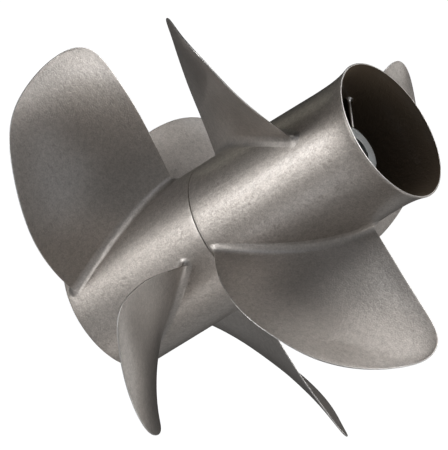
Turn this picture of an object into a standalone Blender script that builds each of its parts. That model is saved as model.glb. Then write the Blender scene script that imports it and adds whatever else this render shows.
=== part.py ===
"""A counter-rotating pair of stern-drive propellers, in metres.

The shaft line is the X axis, +X aft and +Z up. The origin is on the shaft line in the plane of
the thrust face, the forward face of the front propeller's inner hub. Angles round the shaft are
measured from +Y towards +Z. The front propeller has four left-hand blades and the rear one three
right-hand blades. Exhaust gas runs aft between each inner hub and its outer barrel.
"""

from math import cos, pi, radians, sin

import bmesh
import bpy
import numpy as np

# Barrels
HUB_RADIUS = 0.0597         # outside radius of the barrels at the seam between the propellers
RUNNING_GAP = 0.0006        # axial gap at the seam, where one barrel turns against the other
SEAM_X = 0.1315             # middle of the running gap
FRONT_RIM_X = -0.0130       # forward rim of the front barrel
REAR_LENGTH = 0.1703        # from the seam to the aft lip
NECK_X = 0.1270             # distance aft of the seam where the rear barrel is narrowest
NECK_DEPTH = 0.0018         # how much the radius has shrunk there
FLARE = 0.0044              # how much the radius grows again from the neck to the aft lip
WALL = 0.0042               # wall of the barrels
LIP_WALL = 0.0018           # wall at the aft lip
RIM_ROUND = 0.0006          # chamfer on the rims
BARREL_STEPS = 64

# Inner hubs
FRONT_HUB_RADIUS = 0.0290
FRONT_HUB_END_X = 0.1180    # aft face; the forward one is at the origin
FRONT_BORE_RADIUS = 0.0190
FRONT_SPLINES = 20
REAR_HUB_RADIUS = 0.0222
REAR_HUB_START_X = 0.1420
REAR_HUB_END_X = 0.2665
REAR_BORE_RADIUS = 0.0117
REAR_SPLINES = 16
SPLINE_DEPTH = 0.0014
TOOTH_CORNERS = ((0.0, False), (0.42, False), (0.54, True), (0.88, True))   # share of pitch, at the root
CUTTER_OVERSHOOT = 0.002
HUB_CHAMFER = 0.0010
HUB_STEPS = 48

# Webs
WEB_THICKNESS = 0.0032
WEB_SETBACK = 0.0020        # how far a web's ends stay inside the ends of its inner hub
FRONT_WEB_ANGLES = (25.0, 115.0, 205.0, 295.0)
REAR_WEB_ANGLES = (26.0, 146.0, 266.0)

# Blades. Each outline is the control points of a smooth curve from the leading edge's root, round
# the tip, to the trailing edge's root: radius, angle round the shaft in degrees, distance aft of
# the seam.
FRONT_BLADE_ANGLES = (70.0, 160.0, 250.0, 340.0)
REAR_BLADE_ANGLES = (40.0, 160.0, 280.0)
FRONT_OUTLINE = (
    (0.0597, 62.5, -0.1358),
    (0.1062, 55.0, -0.1245),
    (0.1443, 47.6, -0.1070),
    (0.1745, 38.7, -0.0890),
    (0.1994, 30.6, -0.0743),
    (0.2033, 19.1, -0.0563),
    (0.2032, 9.1, -0.0359),
    (0.1936, 1.6, -0.0230),
    (0.1597, -0.1, -0.0233),
    (0.1056, -2.0, -0.0246),
    (0.0597, 4.1, -0.0277),
)
REAR_OUTLINE = (
    (0.0597, 7.1, 0.0041),
    (0.1002, 18.3, 0.0130),
    (0.1380, 27.2, 0.0304),
    (0.1601, 36.4, 0.0525),
    (0.1786, 42.9, 0.0685),
    (0.1872, 55.0, 0.0955),
    (0.1843, 63.7, 0.1084),
    (0.1835, 70.6, 0.1180),
    (0.1745, 73.7, 0.1271),
    (0.1602, 79.4, 0.1252),
    (0.1129, 78.5, 0.1189),
    (0.0597, 80.4, 0.1136),
)
TIP_SPAN = (0.42, 0.64)     # stretch of the outline that a blade's top row follows
FRONT_BOW = (-0.0011, 0.0031)   # how far a blade bows forward: at the root, and added towards the tip
REAR_BOW = (0.0002, 0.0008)
FRONT_ROOT_THICKNESS = 0.0060   # thickest place of a blade at its root
REAR_ROOT_THICKNESS = 0.0066
EDGE_THICKNESS = 0.0012     # thickness of the blades' edges
ROOT_FILLET = 0.0070        # radius of the fillet where a blade meets its barrel
BLADE_ROWS = (0.0, 0.0015, 0.0055, 0.016, 0.05, 0.12, 0.22, 0.33, 0.45, 0.57, 0.69, 0.8, 0.9, 1.0)
BLADE_COLUMNS = 13
EDGE_POINTS = 2             # points that round each edge of a blade
FOOT_RINGS = (0.1, 0.55)    # rings of the face that lies on the barrel, as shares of its width
TIP_EDGE = 0.4              # width of the tip's narrow outer face, as a share of the edge thickness

GAP = 0.0003                # left between solids that touch

STEEL = (0.36, 0.34, 0.32)
DARK_STEEL = (0.10, 0.09, 0.08)


def new_collection(name):
    collection = bpy.data.collections.new(name)
    bpy.context.scene.collection.children.link(collection)
    return collection


def steel_material(name, colour, roughness):
    material = bpy.data.materials.new(name)
    material.use_nodes = True
    shader = material.node_tree.nodes["Principled BSDF"]
    shader.inputs["Base Color"].default_value = (*colour, 1.0)
    shader.inputs["Metallic"].default_value = 1.0
    shader.inputs["Roughness"].default_value = roughness
    return material


def add_object(name, data, collection, material=None):
    made = bpy.data.objects.new(name, data)
    collection.objects.link(made)
    if material is not None:
        data.materials.append(material)
    return made


def shade_round(mesh, angle=30.0):
    mesh.shade_smooth()
    mesh.set_sharp_from_angle(angle=radians(angle))


def turned(name, profile, steps, collection, material):
    """Screws a closed (x, radius) profile round the shaft line.

    The profile runs down the outer side first, so its points go from the highest x to the lowest
    on the outside and back up on the inside. Local +Z is turned to world +X.
    """
    mesh = bpy.data.meshes.new(name)
    points = [(radius, 0.0, x) for x, radius in profile]
    count = len(points)
    mesh.from_pydata(points, [(i, (i + 1) % count) for i in range(count)], [])
    made = add_object(name, mesh, collection, material)
    made.rotation_euler = (0.0, pi / 2, 0.0)
    screw = made.modifiers.new("turn", "SCREW")
    screw.axis = "Z"
    screw.steps = steps
    screw.render_steps = steps
    screw.use_merge_vertices = True
    screw.merge_threshold = 0.00001
    screw.use_smooth_shade = True
    return made


def barrel_radius(x):
    """Outside radius of the barrels at a place along the shaft, in numbers or arrays.

    Forward of the seam it is constant. Aft of it the radius shrinks with the 1.5th power of the
    distance to the neck, then grows with the 3.2th power to the lip.
    """
    aft = np.clip(np.asarray(x, dtype=float) - SEAM_X, 0.0, REAR_LENGTH)
    drawn_in = NECK_DEPTH * np.minimum(aft / NECK_X, 1.0) ** 1.5
    beyond = np.maximum(aft - NECK_X, 0.0) / (REAR_LENGTH - NECK_X)
    return HUB_RADIUS - drawn_in + FLARE * beyond ** 3.2


def barrel_inside(x):
    """Inside radius of the barrels: the wall thins towards the aft lip with a square law."""
    aft = np.clip(np.asarray(x, dtype=float) - SEAM_X, 0.0, REAR_LENGTH)
    wall = WALL - (WALL - LIP_WALL) * (aft / REAR_LENGTH) ** 2
    return barrel_radius(x) - wall


def barrel_profile(start, end, stations):
    """Closed (x, radius) loop of a barrel with chamfered rims, outer side first, aft to forward.

    The stations lie closer together towards the aft end, where the flare bends most.
    """
    share = 1.0 - np.linspace(1.0, 0.0, stations) ** 1.7
    places = start + RIM_ROUND + share * (end - start - 2 * RIM_ROUND)
    outer = [(x, float(barrel_radius(x))) for x in places[::-1]]
    inner = [(x, float(barrel_inside(x))) for x in places]
    front = [
        (start, float(barrel_radius(start)) - RIM_ROUND),
        (start, float(barrel_inside(start)) + RIM_ROUND),
    ]
    back = [
        (end, float(barrel_inside(end)) + RIM_ROUND),
        (end, float(barrel_radius(end)) - RIM_ROUND),
    ]
    return outer + front + inner + back


def hub_profile(start, end, outside, bore):
    """Closed (x, radius) loop of an inner hub with chamfered ends."""
    return [
        (end, outside - HUB_CHAMFER),
        (end - HUB_CHAMFER, outside),
        (start + HUB_CHAMFER, outside),
        (start, outside - HUB_CHAMFER),
        (start, bore),
        (end, bore),
    ]


def spline_cutter(name, root_radius, teeth, start, end, collection):
    """Toothed prism that cuts the splines into a bore: four points a tooth on two radii."""
    outline = []
    pitch = 2 * pi / teeth
    for tooth in range(teeth):
        for share, deep in TOOTH_CORNERS:
            angle = (tooth + share) * pitch
            radius = root_radius if deep else root_radius - SPLINE_DEPTH
            outline.append((radius * cos(angle), radius * sin(angle)))
    shape = bmesh.new()
    ring = [shape.verts.new((start, y, z)) for y, z in outline]
    cap = shape.faces.new(ring)
    pushed = bmesh.ops.extrude_face_region(shape, geom=[cap])
    moved = [item for item in pushed["geom"] if isinstance(item, bmesh.types.BMVert)]
    bmesh.ops.translate(shape, verts=moved, vec=(end - start, 0.0, 0.0))
    bmesh.ops.recalc_face_normals(shape, faces=shape.faces)
    mesh = bpy.data.meshes.new(name)
    shape.to_mesh(mesh)
    shape.free()
    cutter = add_object(name, mesh, collection)
    cutter.hide_render = True
    cutter.display_type = "WIRE"
    return cutter


def inner_hub(name, start, end, outside, bore, teeth, parts, cutters, material):
    """Turned hub with a splined bore; the bore's land is cut by a toothed prism."""
    smallest = bore - 2 * SPLINE_DEPTH
    hub = turned(name, hub_profile(start, end, outside, smallest), HUB_STEPS, parts, material)
    cutter = spline_cutter(name + "_cutter", bore, teeth, start - CUTTER_OVERSHOOT,
                           end + CUTTER_OVERSHOOT, cutters)
    cut = hub.modifiers.new("splines", "BOOLEAN")
    cut.operation = "DIFFERENCE"
    cut.solver = "EXACT"
    cut.object = cutter
    return hub


def web(name, start, end, hub_radius, angle, collection, material):
    """Flat radial plate from an inner hub to the inside of its barrel, as an extruded outline."""
    outline = [(start, hub_radius + GAP), (end, hub_radius + GAP)]
    outline += [(x, float(barrel_inside(x)) - GAP) for x in np.linspace(end, start, 9)]
    curve = bpy.data.curves.new(name, "CURVE")
    curve.dimensions = "2D"
    curve.fill_mode = "BOTH"
    curve.extrude = WEB_THICKNESS / 2
    spline = curve.splines.new("POLY")
    spline.points.add(len(outline) - 1)
    for point, (x, radius) in zip(spline.points, outline):
        point.co = (x, radius, 0.0, 1.0)
    spline.use_cyclic_u = True
    made = add_object(name, curve, collection, material)
    made.rotation_euler = (radians(angle), 0.0, 0.0)
    return made


def smooth_curve(controls, where):
    """Clamped uniform cubic B-spline through control points, by the Cox and de Boor recursion."""
    controls = np.asarray(controls, dtype=float)
    count = len(controls)
    degree = 3
    knots = np.concatenate([np.zeros(degree), np.linspace(0.0, 1.0, count - degree + 1), np.ones(degree)])
    t = np.clip(np.asarray(where, dtype=float), 0.0, 1.0 - 1e-9)[:, None]
    basis = ((t >= knots[None, :-1]) & (t < knots[None, 1:])).astype(float)
    for order in range(1, degree + 1):
        width_left = knots[order:-1] - knots[:-order - 1]
        width_right = knots[order + 1:] - knots[1:-order]
        left = (t - knots[None, :-order - 1]) / np.where(width_left > 0, width_left, 1.0)
        right = (knots[None, order + 1:] - t) / np.where(width_right > 0, width_right, 1.0)
        left = left * (width_left > 0)
        right = right * (width_right > 0)
        basis = left * basis[:, :-1] + right * basis[:, 1:]
    return basis @ controls


def cylinder_to_space(grid):
    """Turns (radius, angle in radians, x) into (x, y, z)."""
    radius, angle, x = grid[..., 0], grid[..., 1], grid[..., 2]
    return np.stack([x, radius * np.cos(angle), radius * np.sin(angle)], axis=-1)


def mean_surface(outline, rows, columns):
    """Blade's middle surface: a Coons patch between root, leading edge, tip and trailing edge.

    The root row is a straight helix on the barrel. The other three sides follow the outline.
    """
    controls = np.array(outline)
    controls[:, 1] = np.radians(controls[:, 1])
    controls[:, 2] += SEAM_X
    u = np.asarray(rows)
    v = np.linspace(0.0, 1.0, columns)
    leading = smooth_curve(controls, u * TIP_SPAN[0])
    trailing = smooth_curve(controls, 1.0 - u * (1.0 - TIP_SPAN[1]))
    tip = smooth_curve(controls, TIP_SPAN[0] + v * (TIP_SPAN[1] - TIP_SPAN[0]))
    root = leading[0] + v[:, None] * (trailing[0] - leading[0])
    u = u[:, None, None]
    v = v[None, :, None]
    patch = (1 - v) * leading[:, None] + v * trailing[:, None] + (1 - u) * root[None] + u * tip[None]
    patch -= (1 - u) * ((1 - v) * leading[0] + v * trailing[0])
    patch -= u * ((1 - v) * leading[-1] + v * trailing[-1])
    return patch


def unit(vectors):
    return vectors / np.linalg.norm(vectors, axis=-1, keepdims=True)


def round_loop(values):
    """The value at each point of a blade's loop, from a value at each column of the blade."""
    trailing = np.repeat(values[:, -1:], EDGE_POINTS, axis=1)
    leading = np.repeat(values[:, :1], EDGE_POINTS, axis=1)
    return np.concatenate([values, trailing, values[:, ::-1], leading], axis=1)


def blade_sections(outline, bow, root_thickness, forward_end):
    """Rows of closed loops round a blade, from the root to the tip, as an array of points.

    Each row is the middle surface, bowed forward a little, plus and minus half the thickness along
    the surface's normal, with a half round at each edge. Near the barrel the row also grows
    outwards by the quarter circle of the root fillet, and is cut off flush with the forward end of
    the barrel that carries it.
    """
    u = np.array(BLADE_ROWS)
    v = np.linspace(0.0, 1.0, BLADE_COLUMNS)
    patch = mean_surface(outline, BLADE_ROWS, BLADE_COLUMNS)
    seat = barrel_radius(patch[..., 2]) + GAP
    patch[..., 0] = np.maximum(patch[..., 0], seat)
    patch[0, :, 0] = seat[0]
    height = patch[..., 0] - seat
    middle = cylinder_to_space(patch)
    along = unit(np.gradient(middle, u, axis=0))
    across = unit(np.gradient(middle, v, axis=1))
    normal = unit(np.cross(across, along))
    normal *= np.sign(normal[..., :1])
    up = u[:, None]
    bowed = (1 - up ** 4) * (bow[0] + bow[1] * up) * 4 * v * (1 - v)
    middle = middle - normal * bowed[..., None]
    thin = (1 - up) ** 0.8 * np.sin(pi * v) ** 0.8
    low = np.clip(height / ROOT_FILLET, 0.0, 1.0)
    half = (EDGE_THICKNESS + (root_thickness - EDGE_THICKNESS) * thin) / 2
    half += ROOT_FILLET * (1.0 - np.sqrt(1.0 - (1.0 - low) ** 2))
    aft = middle + normal * half[..., None]
    forward = middle - normal * half[..., None]
    trailing = []
    leading = []
    for turn in np.linspace(0.0, pi, EDGE_POINTS + 2)[1:-1]:
        sideways = cos(turn) * normal[:, -1] + sin(turn) * across[:, -1]
        trailing.append(middle[:, -1] + half[:, -1:] * sideways)
        sideways = cos(turn) * normal[:, 0] + sin(turn) * across[:, 0]
        leading.append(middle[:, 0] - half[:, :1] * sideways)
    loops = np.concatenate(
        [aft, np.stack(trailing, axis=1), forward[:, ::-1], np.stack(leading, axis=1)], axis=1
    )
    loops[..., 0] = np.maximum(loops[..., 0], forward_end)
    radius = np.hypot(loops[..., 1], loops[..., 2])
    level = barrel_radius(loops[..., 0]) + GAP + round_loop(height)
    wanted = np.where(round_loop(low) < 1.0, level, radius)
    loops[..., 1:] *= (wanted / radius)[..., None]
    spine = round_loop(middle[:1])[0]
    foot = np.stack([spine + share * (loops[0] - spine) for share in FOOT_RINGS])
    reach = np.hypot(foot[..., 1], foot[..., 2])
    foot[..., 1:] *= ((barrel_radius(foot[..., 0]) + GAP) / reach)[..., None]
    crown = round_loop(middle[-1:])[0]
    outward = round_loop(along[-1:])[0] * EDGE_THICKNESS / 2
    tip = crown + TIP_EDGE * (loops[-1] - crown) + outward
    return np.concatenate([foot, loops, tip[None]])


def blade_mesh(name, outline, bow, root_thickness, forward_end):
    """Joins the loops of a blade into one closed solid; both end caps are strips across the blade."""
    loops = blade_sections(outline, bow, root_thickness, forward_end)
    rows, around, _ = loops.shape
    shape = bmesh.new()
    verts = [[shape.verts.new(point) for point in row] for row in loops]
    for low, high in zip(verts[:-1], verts[1:]):
        for i in range(around):
            j = (i + 1) % around
            shape.faces.new((low[i], low[j], high[j], high[i]))
    back = 2 * BLADE_COLUMNS + EDGE_POINTS - 1
    for row in (verts[0], verts[-1]):
        for i in range(BLADE_COLUMNS - 1):
            shape.faces.new((row[i], row[i + 1], row[back - i - 1], row[back - i]))
        shape.faces.new(row[BLADE_COLUMNS - 1:BLADE_COLUMNS + EDGE_POINTS + 1])
        shape.faces.new(row[back:] + [row[0]])
    bmesh.ops.recalc_face_normals(shape, faces=shape.faces)
    mesh = bpy.data.meshes.new(name)
    shape.to_mesh(mesh)
    shape.free()
    shade_round(mesh, 50.0)
    return mesh


def blades(label, mesh, angles, collection, material):
    """Equal blades of one propeller, which share one mesh."""
    mesh.materials.append(material)
    for number, angle in enumerate(angles, start=1):
        blade = add_object(f"{label}_blade_{number}", mesh, collection)
        blade.rotation_euler = (radians(angle), 0.0, 0.0)


def front_propeller(parts, cutters):
    cast = steel_material("front_cast_steel", STEEL, 0.42)
    dark = steel_material("front_inner_steel", DARK_STEEL, 0.5)
    end = SEAM_X - RUNNING_GAP / 2
    turned("front_barrel", barrel_profile(FRONT_RIM_X, end, 2), BARREL_STEPS, parts, cast)
    inner_hub("front_inner_hub", 0.0, FRONT_HUB_END_X, FRONT_HUB_RADIUS, FRONT_BORE_RADIUS,
              FRONT_SPLINES, parts, cutters, dark)
    for number, angle in enumerate(FRONT_WEB_ANGLES, start=1):
        web(f"front_web_{number}", WEB_SETBACK, FRONT_HUB_END_X - WEB_SETBACK, FRONT_HUB_RADIUS,
            angle, parts, dark)
    blade = blade_mesh("front_blade", FRONT_OUTLINE, FRONT_BOW, FRONT_ROOT_THICKNESS, FRONT_RIM_X)
    blades("front", blade, FRONT_BLADE_ANGLES, parts, cast)


def rear_propeller(parts, cutters):
    cast = steel_material("rear_cast_steel", STEEL, 0.42)
    dark = steel_material("rear_inner_steel", DARK_STEEL, 0.5)
    start = SEAM_X + RUNNING_GAP / 2
    turned("rear_barrel", barrel_profile(start, SEAM_X + REAR_LENGTH, 10), BARREL_STEPS, parts, cast)
    inner_hub("rear_inner_hub", REAR_HUB_START_X, REAR_HUB_END_X, REAR_HUB_RADIUS, REAR_BORE_RADIUS,
              REAR_SPLINES, parts, cutters, dark)
    for number, angle in enumerate(REAR_WEB_ANGLES, start=1):
        web(f"rear_web_{number}", REAR_HUB_START_X + WEB_SETBACK, REAR_HUB_END_X - WEB_SETBACK,
            REAR_HUB_RADIUS, angle, parts, dark)
    blade = blade_mesh("rear_blade", REAR_OUTLINE, REAR_BOW, REAR_ROOT_THICKNESS, start)
    blades("rear", blade, REAR_BLADE_ANGLES, parts, cast)


def main():
    for old in list(bpy.data.objects):
        bpy.data.objects.remove(old, do_unlink=True)
    parts = new_collection("propeller_pair")
    cutters = new_collection("cutters")
    front_propeller(parts, cutters)
    rear_propeller(parts, cutters)


main()
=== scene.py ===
"""Looks of the counter-rotating stern-drive propeller pair, in metres.

The shaft line is the X axis, +X aft and +Z up, with the origin in the plane of the front
propeller's forward thrust face. Angles round the shaft are measured from +Y towards +Z.
"""

from math import cos, pi, radians, sin, tan

import bmesh
import bpy
import numpy as np
from mathutils import Matrix, Vector


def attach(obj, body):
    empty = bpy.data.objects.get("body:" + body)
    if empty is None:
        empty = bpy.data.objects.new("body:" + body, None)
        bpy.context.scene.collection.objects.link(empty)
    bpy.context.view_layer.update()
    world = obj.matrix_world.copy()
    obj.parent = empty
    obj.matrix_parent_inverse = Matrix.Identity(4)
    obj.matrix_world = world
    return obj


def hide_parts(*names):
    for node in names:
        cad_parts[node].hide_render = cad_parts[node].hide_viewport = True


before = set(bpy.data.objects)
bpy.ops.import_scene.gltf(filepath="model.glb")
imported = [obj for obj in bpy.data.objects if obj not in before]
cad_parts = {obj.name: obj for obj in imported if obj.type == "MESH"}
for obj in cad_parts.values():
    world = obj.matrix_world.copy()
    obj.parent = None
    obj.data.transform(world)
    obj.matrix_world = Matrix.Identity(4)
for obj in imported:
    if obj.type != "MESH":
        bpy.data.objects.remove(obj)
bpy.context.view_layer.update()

# Barrels: the front one is a plain tube, the rear one is drawn in and flared to a thin lip
BARREL_RADIUS = 0.0597
RUNNING_GAP = 0.0006        # between the two barrels at the seam
SEAM_X = 0.1315
FRONT_RIM_X = -0.0130
REAR_LENGTH = 0.1703
NECK_X = 0.1270             # distance of the narrowest place from the seam
NECK_DEPTH = 0.0018
NECK_POWER = 1.5
FLARE = 0.0044
FLARE_POWER = 3.2
WALL = 0.0042
LIP_WALL = 0.0018
RIM_ROUND = 0.0003          # rounding of the rims' edges
LIP_ROUND = 0.0010          # rounding of the aft lip's outer edge
SPIGOT_REACH = 0.0030       # a ring of the front barrel reaches so far into the rear one
SPIGOT_WALL = 0.0012
BARREL_STEPS = 288
BARREL_STATIONS = {"front": 30, "rear": 60}
CORNER_POINTS = 6           # points of a rounded edge's quarter circle
SHARP_ANGLE = 55.0          # degrees; an edge between faces that turns more than this stays sharp

# Inner hubs with splined bores, and the webs that carry them
SPLINE_DEPTH = 0.0014
SPLINE_SETBACK = 0.0050     # distance of the splines' full height from the bore's mouths
SPLINE_RUN_OUT = 0.0003     # length in which they rise from the plain bore
SPLINE_STEEPNESS = 4.0
STEPS_PER_SPLINE = 16
HUB_EDGE = 0.0010
HUB_STATIONS = 8
HUB_FACE_RINGS = (0.3, 0.6, 0.85)   # shares of the way from a face's outer edge to the bore
WEB_THICKNESS = 0.0032
WEB_SETBACK = 0.0020
WEB_FILLET = 0.0035
WEB_ROWS = 33
WEB_EDGE_POINTS = 9
WEB_SEATED = 0.0002         # how far a web's ends sink into the hub and the barrel
FRONT_HUB = {"start": 0.0, "end": 0.1180, "radius": 0.0290, "bore": 0.0190, "teeth": 20}
REAR_HUB = {"start": 0.1420, "end": 0.2665, "radius": 0.0222, "bore": 0.0117, "teeth": 16}
FRONT_WEB_ANGLES = (25.0, 115.0, 205.0, 295.0)
REAR_WEB_ANGLES = (26.0, 146.0, 266.0)

# Blades: an outline is the control points of a smooth curve from the leading edge's root, round
# the tip, to the trailing edge's root, as radius, angle round the shaft in degrees and distance
# aft of the seam. The bow is how far the blade stands forward of its edges, at the root and what
# is added towards the tip. Waves are the hand-ground face's gentle swells, in mm aft: rows are
# for 1, 2, 3 and 4 half waves from root to tip, and columns for as many across. The cup is the
# depth in mm, at the root and at the tip, of the shallow channel that turns the trailing edge aft.
FRONT_BLADE_ANGLES = (70.0, 160.0, 250.0, 340.0)
REAR_BLADE_ANGLES = (40.0, 160.0, 280.0)
FRONT_BLADE = {
    "outline": (
        (0.0597, 62.5, -0.1358),
        (0.1062, 55.0, -0.1245),
        (0.1443, 47.6, -0.1070),
        (0.1745, 38.7, -0.0890),
        (0.1994, 30.6, -0.0743),
        (0.2033, 19.1, -0.0563),
        (0.2032, 9.1, -0.0359),
        (0.1936, 1.6, -0.0230),
        (0.1597, -0.1, -0.0233),
        (0.1056, -2.0, -0.0246),
        (0.0597, 4.1, -0.0277),
    ),
    "bow": (-0.0011, 0.0031),
    "waves": (
        (0.69, 0.08, -0.34, 0.06),
        (-0.91, 0.11, -0.27, 0.05),
        (-0.59, 0.37, 0.04, 0.05),
        (-0.07, 0.16, 0.05, -0.03),
    ),
    "cup": (0.0, 0.45),
    "root_thickness": 0.0060,
    "forward_end": FRONT_RIM_X,
}
REAR_BLADE = {
    "outline": (
        (0.0597, 7.1, 0.0041),
        (0.1016, 18.1, 0.0135),
        (0.1362, 26.8, 0.0301),
        (0.1601, 35.6, 0.0517),
        (0.1796, 43.9, 0.0710),
        (0.1862, 53.5, 0.0921),
        (0.1850, 62.9, 0.1072),
        (0.1836, 69.9, 0.1192),
        (0.1735, 75.2, 0.1267),
        (0.1553, 78.2, 0.1262),
        (0.1165, 79.3, 0.1182),
        (0.0597, 81.1, 0.1132),
    ),
    "bow": (0.0002, 0.0008),
    "waves": (
        (-0.26, 1.51, -0.19, 0.27),
        (0.37, 0.29, 0.18, 0.12),
        (0.29, 0.35, 0.05, 0.00),
        (-0.01, 0.13, -0.07, -0.05),
    ),
    "cup": (0.54, 0.30),
    "root_thickness": 0.0066,
    "forward_end": SEAM_X + RUNNING_GAP / 2,
}
TIP_SPAN = (0.42, 0.64)     # shares of the way along the outline where the tip begins and ends
BOW_FADE = 4                # power of the way to the tip by which the bow runs out there
CUP_START = 0.78            # share of the way across where the cup begins
CUP_RUN_OUT = 0.12          # share of the blade's length in which it grows at the root
CUP_FADE = 6                # power of the way to the tip by which it runs out there
CUP_SCALE = 27 / 4          # a share's square times what is left of it is 4/27 at most
THINNING = 0.8              # power of the distance from the edges by which a blade gets thicker
EDGE_THICKNESS = 0.0012
ROOT_FILLET = 0.0070
MILLIMETRE = 0.001

# How finely the castings are made
BLADE_ROWS = 84
BLADE_COLUMNS = 64
FILLET_ROWS = 14
FILLET_TOP = 0.018          # share of the blade's length that the root fillet reaches up
EDGE_POINTS = 9
UNGROUND_ROWS = 6           # rows of the rim above the fillet that are blasted like the faces
FOOT_RINGS = (0.5, 0.05)    # shares of the foot's half width where its inner rings lie
SEATED = 0.00005            # how far a blade's foot sinks into the barrel

# The blasted finish: sizes of its marks, how much each shows in the colour, and the strength and
# depth of its relief
CLOUD_SIZE = 0.045
PEEL_SIZE = 0.004
GRIT_SIZE = 0.0013
CLOUDS_SHOWN = 0.35
PEEL_SHOWN = 0.5
GRIT_SHOWN = 0.8
PEEL_RELIEF = (0.12, 0.0012)
GRIT_RELIEF = (0.35, 0.0004)
SHEEN_SWING = 0.05          # how much rougher the dark marks are, and smoother the pale ones
OIL_ROUGHNESS = 0.2
OIL_IOR = 1.5
TURNED_AND_HIGHLIT_ROUGHNESS = 0.34
TURNED_AND_HIGHLIT_BLUR = 0.0002
# Faces that look towards the shaft line are rougher and have their own darker colour
INWARD_ROUGHNESS = 0.8
INWARD_FACING = (-0.02, -0.04)    # distance from the shaft line times how far a face looks away from it

# The studio: how bright the world is straight below and behind the pair, the cosines of the angle
# to the camera's side between which it gets dark behind, and the floor
BELOW_STRENGTH = 0.31
BEHIND_STRENGTH = 0.02
BEHIND_SPAN = (-0.95, -0.75)
FLOOR_REACH = 30.0
FLOOR_HEIGHT = -4.0
FLOOR_ROUGHNESS = 0.9


def barrel_radius(x):
    """Outside radius at x: constant forward of the seam, then less by the 1.5th power of the way
    to the neck, and more by the 3.2th power of the way from the neck to the lip."""
    aft = np.clip(np.asarray(x, dtype=float) - SEAM_X, 0.0, REAR_LENGTH)
    drawn_in = NECK_DEPTH * np.minimum(aft / NECK_X, 1.0) ** NECK_POWER
    beyond = np.maximum(aft - NECK_X, 0.0) / (REAR_LENGTH - NECK_X)
    return BARREL_RADIUS - drawn_in + FLARE * beyond ** FLARE_POWER


def barrel_inside(x):
    """Inside radius at x: the wall thins towards the aft lip with the square of the distance."""
    aft = np.clip(np.asarray(x, dtype=float) - SEAM_X, 0.0, REAR_LENGTH)
    return barrel_radius(x) - WALL + (WALL - LIP_WALL) * (aft / REAR_LENGTH) ** 2


def unit(vectors):
    return vectors / np.linalg.norm(vectors, axis=-1, keepdims=True)


def from_cylinder(radius, angle, x):
    """Points at a radius and an angle round the shaft line."""
    return np.stack(np.broadcast_arrays(x, radius * np.cos(angle), radius * np.sin(angle)), axis=-1)


def turn_about_shaft(points, degrees):
    angle = radians(degrees)
    x, y, z = points[..., 0], points[..., 1], points[..., 2]
    return np.stack([x, y * cos(angle) - z * sin(angle), y * sin(angle) + z * cos(angle)], axis=-1)


def closed_casting(name, points, quads, body, node, slot, material, ground=None, ground_faces=()):
    """Puts a closed surface in its place in the object, with all its faces turned outwards.

    Faces between the two numbers of ground_faces have the second material.
    """
    mesh = bpy.data.meshes.new(name)
    mesh.from_pydata(points.reshape(-1, 3), [], quads.reshape(-1, 4))
    skin = bmesh.new()
    skin.from_mesh(mesh)
    bmesh.ops.recalc_face_normals(skin, faces=skin.faces)
    skin.to_mesh(mesh)
    skin.free()
    mesh.shade_smooth()
    mesh.set_sharp_from_angle(angle=radians(SHARP_ANGLE))
    mesh.materials.append(material)
    if ground is not None:
        mesh.materials.append(ground)
        for face in mesh.polygons[ground_faces[0]:ground_faces[1]]:
            face.material_index = 1
    piece = bpy.data.objects.new(name, mesh)
    bpy.context.scene.collection.objects.link(piece)
    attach(piece, body)
    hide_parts(node)


def quads_between(near, far):
    """Quads between two rows of point numbers, or between the rows of two such grids."""
    corners = [near[..., :-1], near[..., 1:], far[..., 1:], far[..., :-1]]
    return np.stack(corners, axis=-1).reshape(-1, 4)


def grid_quads(numbers):
    return quads_between(numbers[:-1], numbers[1:])


def joined_up(numbers):
    """Point numbers with the first column repeated after the last, so that the rows close."""
    return np.concatenate([numbers, numbers[..., :1]], axis=-1)


def strip_across(loop):
    """Quads that close a long narrow loop of an even number of points, pair by pair."""
    half = len(loop) // 2
    return quads_between(loop[:half], loop[half:][::-1])


def smooth_curve(controls, where):
    """Points at places from 0 to 1 on the clamped uniform cubic B-spline of some control points,
    by the Cox and de Boor recursion. The last place is taken as just inside the last span."""
    degree = 3
    count = len(controls)
    inner_knots = np.linspace(0.0, 1.0, count - degree + 1)
    knots = np.concatenate([np.zeros(degree), inner_knots, np.ones(degree)])
    t = np.clip(np.asarray(where, dtype=float), 0.0, 1.0 - 1e-9)[:, None]
    basis = ((t >= knots[None, :-1]) & (t < knots[None, 1:])).astype(float)
    for order in range(1, degree + 1):
        left_width = knots[order:-1] - knots[:-order - 1]
        right_width = knots[order + 1:] - knots[1:-order]
        left = (t - knots[None, :-order - 1]) / np.where(left_width > 0, left_width, 1.0)
        right = (knots[None, order + 1:] - t) / np.where(right_width > 0, right_width, 1.0)
        from_left = left * (left_width > 0) * basis[:, :-1]
        basis = from_left + right * (right_width > 0) * basis[:, 1:]
    return basis @ controls


def add_node(tree, kind, settings=None, inputs=None):
    """Adds a node, sets its own settings, and fills its inputs with values or links to sockets."""
    node = tree.nodes.new(kind)
    for key, value in (settings or {}).items():
        setattr(node, key, value)
    for key, value in (inputs or {}).items():
        if isinstance(value, bpy.types.NodeSocket):
            tree.links.new(value, node.inputs[key])
        else:
            node.inputs[key].default_value = value
    return node


def linear(hex_colour):
    """Linear colour of an sRGB hex value."""
    parts = [int(hex_colour[i:i + 2], 16) / 255 for i in (1, 3, 5)]
    return tuple(c / 12.92 if c <= 0.04045 else ((c + 0.055) / 1.055) ** 2.4 for c in parts) + (1.0,)


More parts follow.
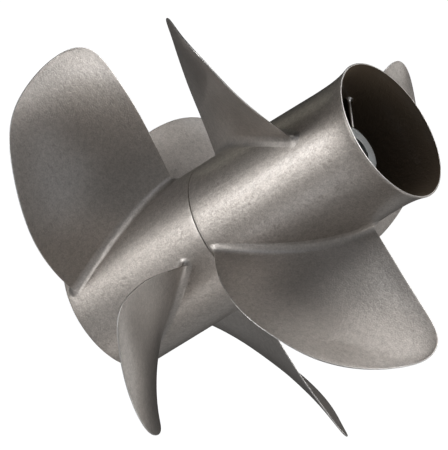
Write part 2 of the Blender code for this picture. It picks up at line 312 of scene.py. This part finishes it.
def blasted_stainless(name, pale, deep, roughness, grain=1.0, film=0.5, turned_and_highlit=None, inward_tone=None):
    """Cast stainless steel, ground and then bead-blasted: a soft sheen broken by fine grit marks.

    Grit marks are about 0.3 mm, too fine for the picture, so they are drawn at 1.3 mm. Under them
    the cast skin undulates a little over 4 mm, and clouds of 45 mm show where the grinding left it
    brighter or duller; grain is how strongly the marks show. Over it lies a thin film of preserving
    oil, which darkens the steel towards its outlines; film is how much of it there is. A pale aft end
    is given as an x and a colour: aft of there the steel has that colour and is smoother. On the
    barrel's lip this is the finish that the lathe leaves; on the webs' aft edges the pale colour is a
    painted highlight. Where a colour is given for the inward faces, the faces that look towards the
    shaft line have it and are rougher.
    """
    material = bpy.data.materials.new(name)
    material.use_nodes = True
    tree = material.node_tree
    shader = tree.nodes["Principled BSDF"]
    shader.inputs["Metallic"].default_value = 1.0
    shader.inputs["Coat Weight"].default_value = film
    shader.inputs["Coat Roughness"].default_value = OIL_ROUGHNESS
    shader.inputs["Coat IOR"].default_value = OIL_IOR
    coordinates = add_node(tree, "ShaderNodeTexCoord").outputs
    place = coordinates["Object"]
    clouds, peel, grit = (
        add_node(tree, "ShaderNodeTexNoise",
                 inputs={"Vector": place, "Scale": 1 / size, "Detail": detail})
        for size, detail in ((CLOUD_SIZE, 3.0), (PEEL_SIZE, 1.0), (GRIT_SIZE, 1.0)))
    mottle = add_node(tree, "ShaderNodeMath", {"operation": "MULTIPLY_ADD"},
                      {0: clouds.outputs["Fac"], 1: CLOUDS_SHOWN, 2: -CLOUDS_SHOWN / 2})
    for marks, depth in ((peel, PEEL_SHOWN * grain), (grit, GRIT_SHOWN * grain)):
        mottle = add_node(tree, "ShaderNodeMath", {"operation": "MULTIPLY_ADD"},
                          {0: marks.outputs["Fac"], 1: depth, 2: mottle.outputs[0]})
    mottle = add_node(tree, "ShaderNodeMath", {"operation": "ADD"},
                      {0: mottle.outputs[0], 1: 0.5 - (PEEL_SHOWN + GRIT_SHOWN) / 2 * grain})
    colour = add_node(tree, "ShaderNodeMix", {"data_type": "RGBA"}, {
        "Factor": mottle.outputs[0], "A": linear(deep), "B": linear(pale)}).outputs["Result"]
    sheen = add_node(tree, "ShaderNodeMapRange", inputs={
        "Value": mottle.outputs[0], "To Min": roughness + SHEEN_SWING,
        "To Max": roughness - SHEEN_SWING}).outputs[0]
    if turned_and_highlit is not None:
        # Aft of the given x the colour is paler and the roughness lower: the barrel's turned lip, and
        # on the webs a painted highlight on their aft edges
        along = add_node(tree, "ShaderNodeSeparateXYZ", inputs={0: place}).outputs["X"]
        turned = add_node(tree, "ShaderNodeMapRange", inputs={
            "Value": along, "From Min": turned_and_highlit[0] - TURNED_AND_HIGHLIT_BLUR, "From Max": turned_and_highlit[0] + TURNED_AND_HIGHLIT_BLUR}).outputs[0]
        colour = add_node(tree, "ShaderNodeMix", {"data_type": "RGBA"},
                          {"Factor": turned, "A": colour, "B": linear(turned_and_highlit[1])}).outputs["Result"]
        sheen = add_node(tree, "ShaderNodeMapRange", inputs={
            "Value": turned, "To Min": sheen, "To Max": TURNED_AND_HIGHLIT_ROUGHNESS}).outputs[0]
    if inward_tone is not None:
        # Faces that look towards the shaft line get the given darker colour and more roughness
        from_shaft = add_node(tree, "ShaderNodeVectorMath", {"operation": "MULTIPLY"},
                              {0: place, 1: (0.0, 1.0, 1.0)}).outputs[0]
        facing_out = add_node(tree, "ShaderNodeVectorMath", {"operation": "DOT_PRODUCT"},
                              {0: from_shaft, 1: coordinates["Normal"]}).outputs["Value"]
        inside = add_node(tree, "ShaderNodeMapRange", inputs={
            "Value": facing_out, "From Min": INWARD_FACING[0], "From Max": INWARD_FACING[1]}).outputs[0]
        colour = add_node(tree, "ShaderNodeMix", {"data_type": "RGBA"},
                          {"Factor": inside, "A": colour, "B": linear(inward_tone)}).outputs["Result"]
        sheen = add_node(tree, "ShaderNodeMapRange", inputs={
            "Value": inside, "To Min": sheen, "To Max": INWARD_ROUGHNESS}).outputs[0]
    tree.links.new(colour, shader.inputs["Base Color"])
    tree.links.new(sheen, shader.inputs["Roughness"])
    relief = add_node(tree, "ShaderNodeBump", inputs={
        "Strength": PEEL_RELIEF[0] * grain, "Distance": PEEL_RELIEF[1],
        "Height": peel.outputs["Fac"]})
    relief = add_node(tree, "ShaderNodeBump", inputs={
        "Strength": GRIT_RELIEF[0], "Distance": GRIT_RELIEF[1],
        "Height": grit.outputs["Fac"], "Normal": relief.outputs["Normal"]})
    tree.links.new(relief.outputs["Normal"], shader.inputs["Normal"])
    return material


def build_materials():
    """The finishes: ground edges are paler and glossier than the blasted faces, and their paler
    colour is also a painted highlight of the light that the thin edges catch. What the lathe has
    turned on the barrel's lip is bright, and the webs' aft edges have the same pale colour as a
    painted highlight. The hub is a cooler and more even grey, the webs are dark brown, and the
    barrel's faces that look towards the shaft line are a darker brown."""
    lip = SEAM_X + REAR_LENGTH - RIM_ROUND
    # Aft of here the webs' rounded aft edges are painted pale, a painted highlight of the light they
    # catch
    web_edge = REAR_HUB["end"] - WEB_SETBACK - WEB_THICKNESS / 2
    return {
        "blade": blasted_stainless("bead_blasted_stainless_blade", "#d6cfc8", "#9b948e", 0.48),
        # Ground edges: paler and glossier than the faces; their paler colour is also a painted
        # highlight of the light that the thin edges catch
        "rim": blasted_stainless("ground_blade_edge_with_painted_highlight", "#e8e4e0", "#d6d2ce", 0.4, film=0.0),
        # Barrel: its lip is turned bright, and its faces that look towards the shaft line are a darker
        # brown
        "barrel": blasted_stainless("bead_blasted_stainless_barrel", "#d8d0c8", "#9c948d", 0.48,
                                    grain=1.15, turned_and_highlit=(lip, "#e2deda"), inward_tone="#7d6f5f"),
        "hub": blasted_stainless("turned_stainless_hub", "#d2d4d4", "#b4b6b6", 0.5),
        # Webs: dark brown cast steel; their aft edges get the pale colour as a painted highlight
        "inner": blasted_stainless("dark_brown_cast_stainless", "#5d5148", "#352d27", 0.5,
                                   turned_and_highlit=(web_edge, "#e2deda")),
    }


def mean_surface(outline, u, v):
    """Blade's middle surface as radius, angle and x: a Coons patch between four sides.

    The root is a straight helix on the barrel. The leading edge, the tip and the trailing edge
    follow the outline.
    """
    controls = np.array(outline)
    controls[:, 1] = np.radians(controls[:, 1])
    controls[:, 2] += SEAM_X
    leading = smooth_curve(controls, u * TIP_SPAN[0])
    trailing = smooth_curve(controls, 1.0 - u * (1.0 - TIP_SPAN[1]))
    tip = smooth_curve(controls, TIP_SPAN[0] + v * (TIP_SPAN[1] - TIP_SPAN[0]))
    root = leading[0] + v[:, None] * (trailing[0] - leading[0])
    u = u[:, None, None]
    v = v[None, :, None]
    patch = (1 - v) * leading[:, None] + v * trailing[:, None] + (1 - u) * root[None] + u * tip[None]
    patch -= (1 - u) * ((1 - v) * leading[0] + v * trailing[0])
    patch -= u * ((1 - v) * leading[-1] + v * trailing[-1])
    return patch


def outwards(edge, tangent, normal, inside):
    """Unit vectors in the blade's surface, square to its edge and pointing away from the blade."""
    sideways = unit(np.cross(tangent, normal))
    away = np.sign(((edge - inside) * sideways).sum(axis=-1, keepdims=True))
    return sideways * away


def blade_surface(blade):
    """Points and quads of a blade: two skins, a rounded rim between them, and a foot.

    The middle surface is moved along its normal by the bow, by waves, which are products of
    sines, and by the cup, the square of the share of its width times what is left of it. The
    skins are it plus and minus half the thickness along its normal. The half thickness falls
    from the root to the edges, with the power 0.8 of the distance to the tip and of the sine
    across the blade. In the root fillet it grows by the radius less the height of a quarter
    circle. The rim is a half circle carried along the leading edge, tip and trailing edge. The
    foot lies on the barrel.
    """
    # Rows lie close together in the fillet, and columns towards the edges
    fillet_rows = FILLET_TOP * (1.0 - np.cos(np.linspace(0.0, pi / 2, FILLET_ROWS, endpoint=False)))
    u = np.concatenate([fillet_rows, np.linspace(FILLET_TOP, 1.0, BLADE_ROWS)])
    even = np.linspace(0.0, 1.0, BLADE_COLUMNS)
    v = 0.5 * even + 0.5 * (0.5 - 0.5 * np.cos(pi * even))
    patch = mean_surface(blade["outline"], u, v)
    seat = barrel_radius(patch[..., 2])
    patch[..., 0] = np.maximum(patch[..., 0], seat)
    patch[0, :, 0] = seat[0]
    height = patch[..., 0] - seat
    middle = from_cylinder(patch[..., 0], patch[..., 1], patch[..., 2])
    along = unit(np.gradient(middle, u, axis=0))
    across = unit(np.gradient(middle, v, axis=1))
    normal = unit(np.cross(across, along))
    normal *= np.sign(normal[..., :1])
    normal[-1, 0] = normal[-2, 1]
    normal[-1, -1] = normal[-2, -2]
    up = u[:, None]
    bow = (1 - up ** BOW_FADE) * (blade["bow"][0] + blade["bow"][1] * up) * 4 * v * (1 - v)
    half_waves = np.arange(1, 5) * pi
    lengthwise = np.sin(np.outer(u, half_waves))
    crosswise = np.sin(np.outer(half_waves, v))
    swell = MILLIMETRE * lengthwise @ np.array(blade["waves"]) @ crosswise
    share = np.clip((v - CUP_START) / (1.0 - CUP_START), 0.0, 1.0)
    grown = np.clip(up / CUP_RUN_OUT, 0.0, 1.0)
    cup_depth = MILLIMETRE * (blade["cup"][0] * (1 - up) + blade["cup"][1] * up)
    cup_depth = cup_depth * grown ** 2 * (3 - 2 * grown)
    cup = cup_depth * (1 - up ** CUP_FADE) * CUP_SCALE * share ** 2 * (1 - share)
    middle = middle + normal * (swell - bow - cup)[..., None]
    fullness = (1 - up) ** THINNING * np.sin(pi * v) ** THINNING
    half = (EDGE_THICKNESS + (blade["root_thickness"] - EDGE_THICKNESS) * fullness) / 2
    low = np.clip(height / ROOT_FILLET, 0.0, 1.0)
    half = half + ROOT_FILLET * (1.0 - np.sqrt(1.0 - (1.0 - low) ** 2))

    def seated(points, low, height):
        """Cuts the fillet off at the barrel's forward end, and sets its height above the barrel."""
        points[..., 0] = np.maximum(points[..., 0], blade["forward_end"])
        radius = np.hypot(points[..., 1], points[..., 2])
        level = barrel_radius(points[..., 0]) - SEATED + height
        points[..., 1:] *= (np.where(low < 1.0, level, radius) / radius)[..., None]
        return points

    def round_the_edge(grid):
        """Values along the leading edge, the tip and the trailing edge of a grid."""
        return np.concatenate([grid[:, 0], grid[-1, 1:], grid[-2::-1, -1]])

    aft = seated(middle + normal * half[..., None], low, height)
    forward = seated(middle - normal * half[..., None], low, height)
    edge = round_the_edge(middle)
    tangent = unit(np.gradient(edge, axis=0))
    inside = np.concatenate([middle[:, 1], middle[-2, 1:], middle[-2::-1, -2]])
    edge_normal = round_the_edge(normal)
    away = outwards(edge, tangent, edge_normal, inside)
    turn = np.linspace(0.0, pi, EDGE_POINTS + 2)[1:-1, None]
    direction = edge_normal[:, None] * np.cos(turn) + away[:, None] * np.sin(turn)
    rim = seated(edge[:, None] + round_the_edge(half)[:, None, None] * direction,
                 round_the_edge(low)[:, None], round_the_edge(height)[:, None])

    skin = np.arange(aft[..., 0].size).reshape(aft.shape[:2])
    back = skin + skin.size
    bead = np.arange(rim[..., 0].size).reshape(rim.shape[:2]) + 2 * skin.size
    bead = np.concatenate([round_the_edge(skin)[:, None], bead, round_the_edge(back)[:, None]], axis=1)
    foot_loop = np.concatenate([skin[0], bead[-1, 1:-1], back[0, ::-1], bead[0, -2:0:-1]])
    points = np.concatenate([aft.reshape(-1, 3), forward.reshape(-1, 3), rim.reshape(-1, 3)])
    spine = np.concatenate([middle[0], np.repeat(middle[0, -1:], EDGE_POINTS, axis=0), middle[0, ::-1],
                            np.repeat(middle[0, :1], EDGE_POINTS, axis=0)])
    foot = spine + np.array(FOOT_RINGS)[:, None, None] * (points[foot_loop] - spine)
    reach = np.hypot(foot[..., 1], foot[..., 2])
    foot[..., 1:] *= ((barrel_radius(foot[..., 0]) - SEATED) / reach)[..., None]
    sole = np.arange(foot[..., 0].size).reshape(foot.shape[:2]) + len(points)
    sole = np.concatenate([foot_loop[None], sole])
    turned_ends = np.roll(sole[-1], EDGE_POINTS // 2)
    quads = np.concatenate([grid_quads(skin), grid_quads(back), grid_quads(bead),
                            grid_quads(joined_up(sole)), strip_across(turned_ends)])
    first = 2 * len(grid_quads(skin))
    fillet_faces = (FILLET_ROWS + UNGROUND_ROWS) * (bead.shape[1] - 1)
    rim_faces = (first + fillet_faces, first + len(grid_quads(bead)) - fillet_faces)
    return np.concatenate([points, foot.reshape(-1, 3)]), quads, rim_faces


def rounded_rim(x, outer, inner, aft, outer_round=RIM_ROUND):
    """Profile points (x, radius) of a flat rim with rounded edges, from its outer to its inner side."""
    turn = np.linspace(0.0, pi / 2, CORNER_POINTS)
    back = 1.0 - np.sin(turn)
    down = 1.0 - np.cos(turn)
    depth = np.concatenate([outer_round * back, RIM_ROUND * back[::-1]])
    radius = np.concatenate([outer - outer_round * down, inner + RIM_ROUND * down[::-1]])
    return np.stack([x - depth if aft else x + depth, radius], axis=1)


def turned_piece(name, profile, radius_factor, steps, *place):
    """A closed (x, radius) profile carried round the shaft, with its radius changed by a factor."""
    angle = np.linspace(0.0, 2 * pi, steps, endpoint=False)
    radius = profile[:, 1:] * radius_factor(profile[:, :1], angle[None])
    points = from_cylinder(radius, angle[None], profile[:, :1])
    numbers = np.arange(radius.size).reshape(radius.shape)
    rings = joined_up(np.concatenate([numbers, numbers[:1]]))
    closed_casting(name, points, grid_quads(rings), *place)


def spigot(x, inner):
    """Profile points of a ring inside a barrel's aft end, which keeps light out of the seam."""
    outer = inner - RUNNING_GAP
    bore = outer - SPIGOT_WALL
    tip = x + SPIGOT_REACH
    return np.array([
        (x, outer),
        (tip - RIM_ROUND, outer),
        (tip, outer - RIM_ROUND),
        (tip, bore + RIM_ROUND),
        (tip - RIM_ROUND, bore),
        (x - SPIGOT_REACH, bore),
        (x - 2 * SPIGOT_REACH, inner),
    ])


def barrel(label, start, end, material):
    """Barrel turned from its outside going aft, the aft rim, its inside going forward, and the
    forward rim. The lip's outer edge is rounded more than the other edges."""
    outer_round = LIP_ROUND if label == "rear" else RIM_ROUND
    places = np.linspace(start + RIM_ROUND, end - outer_round, BARREL_STATIONS[label])[1:-1]
    outside = np.stack([places, barrel_radius(places)], axis=1)
    inside = np.stack([places, barrel_inside(places)], axis=1)[::-1]
    aft = rounded_rim(end, barrel_radius(end - outer_round), barrel_inside(end), True, outer_round)
    if label == "front":
        aft = np.concatenate([aft[:CORNER_POINTS], spigot(end, barrel_inside(end))])
        inside = inside[inside[:, 0] < end - 2 * SPIGOT_REACH]
    forward = rounded_rim(start, barrel_radius(start), barrel_inside(start), False)[::-1]
    profile = np.concatenate([outside, aft, inside, forward])
    turned_piece(label + "_barrel_casting", profile, lambda x, angle: 1.0 + 0.0 * angle, BARREL_STEPS,
                 label + "_propeller", label + "_barrel", "cast_barrel", material)


def inner_hub(label, hub, material):
    """Hub with rounded ends; its bore is plain at both mouths, with splines between them.

    A spline's flank is a steep smooth step: the hyperbolic tangent of a cosine.
    """
    start, end, outer, bore = hub["start"], hub["end"], hub["radius"], hub["bore"]
    turn = np.linspace(0.0, pi / 2, CORNER_POINTS)
    corner = HUB_EDGE * np.stack([np.sin(turn) - 1.0, np.cos(turn) - 1.0], axis=1)
    body_x = np.linspace(start + HUB_EDGE, end - HUB_EDGE, HUB_STATIONS)[1:-1]
    body = np.stack([body_x, np.full(len(body_x), outer)], axis=1)
    aft_face = np.array([(end, outer - (outer - bore) * share) for share in HUB_FACE_RINGS])
    splines_x = np.linspace(end - SPLINE_SETBACK, start + SPLINE_SETBACK, HUB_STATIONS)
    bore_x = np.concatenate([[end, splines_x[0] + SPLINE_RUN_OUT], splines_x,
                             [splines_x[-1] - SPLINE_RUN_OUT, start]])
    bore_line = np.stack([bore_x, np.full(len(bore_x), bore)], axis=1)
    forward_face = aft_face[::-1] * (0.0, 1.0) + (start, 0.0)
    profile = np.concatenate([body, corner + (end, outer), aft_face, bore_line, forward_face,
                              corner[::-1] * (-1.0, 1.0) + (start, outer)])
    splined_half = (end - start) / 2 - SPLINE_SETBACK + SPLINE_RUN_OUT / 2
    within = np.abs(profile[:, :1] - (start + end) / 2) < splined_half
    is_splined = np.isclose(profile[:, 1:], bore) & within

    def splined(x, angle):
        tooth = 0.5 + 0.5 * np.tanh(SPLINE_STEEPNESS * np.cos(hub["teeth"] * angle))
        return np.where(is_splined, 1.0 - SPLINE_DEPTH / bore * tooth, 1.0)

    turned_piece(label + "_inner_hub_casting", profile, splined, hub["teeth"] * STEPS_PER_SPLINE,
                 label + "_propeller", label + "_inner_hub", "inner_casting", material)


def web(label, number, angle, hub, material):
    """Radial plate with rounded edges, filleted into its hub and its barrel.

    Its section is a stadium, as long as the web and as wide as its thickness. It grows towards
    both ends by the quarter circle of a fillet.
    """
    start, end = hub["start"] + WEB_SETBACK, hub["end"] - WEB_SETBACK
    turn = np.linspace(-pi / 2, pi / 2, WEB_EDGE_POINTS)
    share = 0.5 - 0.5 * np.cos(np.linspace(0.0, pi, WEB_ROWS))[:, None]
    reach = barrel_inside((start + end) / 2) - hub["radius"]
    distance = np.minimum(share, 1.0 - share) * reach
    low = np.clip(distance / WEB_FILLET, 0.0, 1.0)
    half = WEB_THICKNESS / 2 + WEB_FILLET * (1.0 - np.sqrt(1.0 - (1.0 - low) ** 2))
    aft_x = end - WEB_THICKNESS / 2 + half * np.cos(turn)
    forward_x = start + WEB_THICKNESS / 2 - half * np.cos(turn)
    x = np.concatenate([aft_x, forward_x], axis=1)
    x = np.minimum(x, hub["end"])
    sideways = np.concatenate([half * np.sin(turn), -half * np.sin(turn)], axis=1)
    inner = hub["radius"] - WEB_SEATED
    radius = inner + share * (barrel_inside(x) + WEB_SEATED - inner)
    points = turn_about_shaft(from_cylinder(radius, sideways / radius, x), angle)
    numbers = np.arange(radius.size).reshape(radius.shape)
    to_mid_edge = -(WEB_EDGE_POINTS // 2 + 1)
    ends = [strip_across(np.roll(numbers[row], to_mid_edge)) for row in (0, -1)]
    quads = np.concatenate([grid_quads(joined_up(numbers)), *ends])
    closed_casting(f"{label}_web_{number}_casting", points, quads, label + "_propeller",
                   f"{label}_web_{number}", "inner_casting", material)


def propeller(label, blade, blade_angles, hub, web_angles, materials):
    """Blades, webs and inner hub of one propeller."""
    points, quads, rim_faces = blade_surface(blade)
    for number, angle in enumerate(blade_angles, start=1):
        closed_casting(f"{label}_blade_{number}_casting", turn_about_shaft(points, angle), quads,
                       label + "_propeller", f"{label}_blade_{number}", "cast_blade",
                       materials["blade"], materials["rim"], rim_faces)
    for number, angle in enumerate(web_angles, start=1):
        web(label, number, angle, hub, materials["inner"])
    inner_hub(label, hub, materials["hub"])


# The photograph's view: where the camera stands from its aim, and how it is turned about its view
VIEW = {"aim": (0.1238, -0.0019, 0.0079), "azimuth": 31.83, "elevation": 17.18, "roll": -42.47,
        "distance": 3.442, "focal_mm": 332.6, "sensor_mm": 36.0}


def camera_axes():
    """Right, up and back vectors of the camera, worked out from azimuth, elevation and roll."""
    azimuth, elevation, roll = (radians(VIEW[key]) for key in ("azimuth", "elevation", "roll"))
    back = Vector((sin(azimuth) * cos(elevation), -cos(azimuth) * cos(elevation), sin(elevation)))
    level = Vector((0, 0, 1)).cross(back).normalized()
    upright = back.cross(level)
    right = level * cos(roll) + upright * sin(roll)
    return right, back.cross(right), back


def add_camera():
    right, up, back = camera_axes()
    data = bpy.data.cameras.new("camera")
    data.sensor_fit = "HORIZONTAL"
    data.sensor_width = VIEW["sensor_mm"]
    data.lens = VIEW["focal_mm"]
    data.clip_end = 50.0
    camera = bpy.data.objects.new("camera", data)
    bpy.context.scene.collection.objects.link(camera)
    turn = Matrix((right, up, back)).transposed().to_4x4()
    camera.matrix_world = Matrix.Translation(Vector(VIEW["aim"]) + back * VIEW["distance"]) @ turn
    bpy.context.scene.camera = camera


# Soft lights: where each stands from the pair, along the camera's right, up and back, how bright
# its round face is, and its colour
SOFT_LIGHTS = {
    "left": (-0.865, 0.22, 0.45, 7.9, "#fbfdff"),
    "left_low": (-0.81, -0.06, 0.59, 3.1, "#ffffff"),
    "right": (0.81, 0.41, 0.41, 3.0, "#fbfdff"),
    "right_high": (0.76, 0.62, 0.16, 5.9, "#ffffff"),
    "right_front": (0.86, -0.08, 0.51, 1.0, "#edf5ff"),
    "top": (0.40, 0.90, 0.19, 1.95, "#fffcfa"),
    "top_right_front": (0.56, 0.60, 0.57, 1.55, "#f4f9ff"),
    "top_front": (-0.31, 0.55, 0.78, 0.9, "#e8f0ff"),
    "below": (-0.14, -0.98, 0.14, 1.5, "#fffcfa"),
    "below_right": (0.68, -0.70, 0.20, 2.5, "#fffdfb"),
    "below_left_front": (-0.42, -0.64, 0.64, 1.55, "#fafbff"),
    "rim": (0.83, -0.12, -0.55, 1.55, "#fffdfb"),
    "aft_lip": (0.74, 0.46, -0.49, 1.15, "#fffaf4"),
    "behind_top": (0.41, 0.85, -0.34, 1.75, "#fafcff"),
    "behind_left": (-0.53, 0.66, -0.53, 0.40, "#fffdea"),
}
LIGHT_SPREAD = 10.0         # degrees from a face's middle to its edge, seen from the pair
LIGHT_DISTANCE = 1.5


def add_soft_lights():
    """Round soft boxes; a face's power is its brightness times pi times its area."""
    right, up, back = camera_axes()
    middle = Vector((SEAM_X, 0.0, 0.0))
    face_radius = LIGHT_DISTANCE * tan(radians(LIGHT_SPREAD))
    for name, (to_right, to_up, to_back, brightness, colour) in SOFT_LIGHTS.items():
        away = (right * to_right + up * to_up + back * to_back).normalized()
        data = bpy.data.lights.new(name, "AREA")
        data.shape = "DISK"
        data.size = 2 * face_radius
        data.energy = brightness * pi * pi * face_radius ** 2
        data.color = linear(colour)[:3]
        lamp = bpy.data.objects.new(name, data)
        bpy.context.scene.collection.objects.link(lamp)
        lamp.location = middle + away * LIGHT_DISTANCE
        lamp.rotation_euler = (-away).to_track_quat("-Z", "Y").to_euler()
        lamp.visible_camera = False


def add_world():
    """White to the camera. As a light it is dim, brighter from below and dark behind the pair, which
    gives the castings dark outlines."""
    world = bpy.data.worlds.new("pale_studio")
    bpy.context.scene.world = world
    world.use_nodes = True
    tree = world.node_tree
    way = add_node(tree, "ShaderNodeTexCoord").outputs["Generated"]
    upwards, towards_camera = (
        add_node(tree, "ShaderNodeVectorMath", {"operation": "DOT_PRODUCT"},
                 {0: way, 1: axis}).outputs["Value"]
        for axis in camera_axes()[1:])
    below = add_node(tree, "ShaderNodeMapRange", inputs={
        "Value": upwards, "From Min": 1.0, "From Max": -1.0,
        "To Min": 0.0, "To Max": BELOW_STRENGTH}).outputs[0]
    strength = add_node(tree, "ShaderNodeMapRange", inputs={
        "Value": towards_camera, "From Min": BEHIND_SPAN[0], "From Max": BEHIND_SPAN[1],
        "To Min": BEHIND_STRENGTH, "To Max": below}).outputs[0]
    seen = add_node(tree, "ShaderNodeLightPath").outputs["Is Camera Ray"]
    strength = add_node(tree, "ShaderNodeMath", {"operation": "MAXIMUM"}, {0: strength, 1: seen})
    background = tree.nodes["Background"]
    tint = add_node(tree, "ShaderNodeMix", {"data_type": "RGBA"},
                    {"Factor": seen, "A": linear("#f6f8fa"), "B": linear("#ffffff")}).outputs["Result"]
    tree.links.new(tint, background.inputs["Color"])
    tree.links.new(strength.outputs[0], background.inputs["Strength"])


def add_floor():
    """Pale floor, so matt and bright that it stays plain; it isn't mirrored in the steel."""
    corners = [(FLOOR_REACH * side_x, FLOOR_REACH * side_y, FLOOR_HEIGHT)
               for side_x, side_y in ((-1, -1), (1, -1), (1, 1), (-1, 1))]
    mesh = bpy.data.meshes.new("floor")
    mesh.from_pydata(corners, [], [(0, 1, 2, 3)])
    paint = bpy.data.materials.new("matt_white_floor_paint")
    paint.use_nodes = True
    shader = paint.node_tree.nodes["Principled BSDF"]
    shader.inputs["Base Color"].default_value = linear("#f4f4f2")
    shader.inputs["Roughness"].default_value = FLOOR_ROUGHNESS
    shader.inputs["Emission Color"].default_value = (1.0, 1.0, 1.0, 1.0)
    shader.inputs["Emission Strength"].default_value = 1.0
    mesh.materials.append(paint)
    floor = bpy.data.objects.new("floor", mesh)
    bpy.context.scene.collection.objects.link(floor)
    floor.visible_glossy = False
    floor.visible_diffuse = False


materials = build_materials()
half_gap = RUNNING_GAP / 2
barrel("front", FRONT_RIM_X, SEAM_X - half_gap, materials["barrel"])
barrel("rear", SEAM_X + half_gap, SEAM_X + REAR_LENGTH, materials["barrel"])
propeller("front", FRONT_BLADE, FRONT_BLADE_ANGLES, FRONT_HUB, FRONT_WEB_ANGLES, materials)
propeller("rear", REAR_BLADE, REAR_BLADE_ANGLES, REAR_HUB, REAR_WEB_ANGLES, materials)
add_camera()
add_soft_lights()
add_world()
add_floor()
bpy.context.scene.view_settings.view_transform = "Standard"
